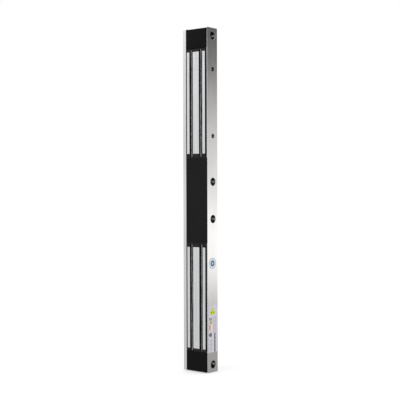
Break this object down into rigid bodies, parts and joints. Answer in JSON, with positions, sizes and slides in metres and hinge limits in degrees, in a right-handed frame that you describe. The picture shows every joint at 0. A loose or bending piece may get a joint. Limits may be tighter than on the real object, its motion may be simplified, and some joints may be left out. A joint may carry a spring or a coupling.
{
  "type": "magnetic door lock",
  "caption": "Slim double electromagnetic door lock: steel channel with two three-pole magnets, black end blocks and centre cover, on a mounting plate.",
  "frame": {"origin": "centre of the mounting plate's back face, which rests on the door frame", "axes": "+X out of the mounting face across the bar, -Y out of the pole faces, +Z along the bar"},
  "size_m": [0.0466, 0.0272, 0.53],
  "materials": {
    "stainless_steel": "brushed along its length",
    "aluminium": "satin anodised",
    "rubber": "matt",
    "black_plastic": "finely textured",
    "tray_plastic": "matt",
    "zinc_steel": "zinc plated",
    "spring_steel": "dark spring steel",
    "black_oxide": "black oxide",
    "circuit_board": "green solder mask",
    "terminal_plastic": "moulded green",
    "varistor": "blue lacquer",
    "component_plastic": "moulded black",
    "label_film": "printed film",
    "sticker_film": "printed film",
    "screw_steel": "black oxide, worn bright in the key socket",
    "lead_insulation": "silicone insulation",
    "core_steel": "ground laminations",
    "core_plate": "dark grey paint",
    "bobbin_nylon": "natural nylon",
    "copper": "enamelled copper wire",
    "epoxy": "glossy black epoxy"
  },
  "bodies": {
    "lock_body": {"housing_channel": "stainless_steel", "mounting_plate": "aluminium", "cable_grommet": "rubber", "terminal_tray": "tray_plastic", "bolt_sleeves": "zinc_steel", "bolt_washers": "spring_steel", "through_bolts": "black_oxide", "circuit_board": "circuit_board", "board_screws": "zinc_steel", "terminal_block": "terminal_plastic", "terminal_screws": "zinc_steel", "varistor": "varistor", "rectifier": "component_plastic", "voltage_jumper": "component_plastic", "rating_label": "label_film", "round_sticker": "sticker_film", "core_screws": "screw_steel", "upper_end_block": "black_plastic", "upper_coil_leads": "lead_insulation", "upper_core": "core_steel", "upper_core_lower_plate": "core_plate", "upper_core_upper_plate": "core_plate", "upper_bobbin": "bobbin_nylon", "upper_coil": "copper", "upper_slot_fill": "epoxy", "upper_potting": "epoxy", "lower_end_block": "black_plastic", "lower_coil_leads": "lead_insulation", "lower_core": "core_steel", "lower_core_lower_plate": "core_plate", "lower_core_upper_plate": "core_plate", "lower_bobbin": "bobbin_nylon", "lower_coil": "copper", "lower_slot_fill": "epoxy", "lower_potting": "epoxy"},
    "cover": {"centre_cover": "black_plastic"}
  },
  "joints": [
    {"name": "cover_lift", "type": "slide", "parent": "lock_body", "child": "cover", "axis": [0, -1, 0], "range_m": [0, 0.03]}
  ]
}
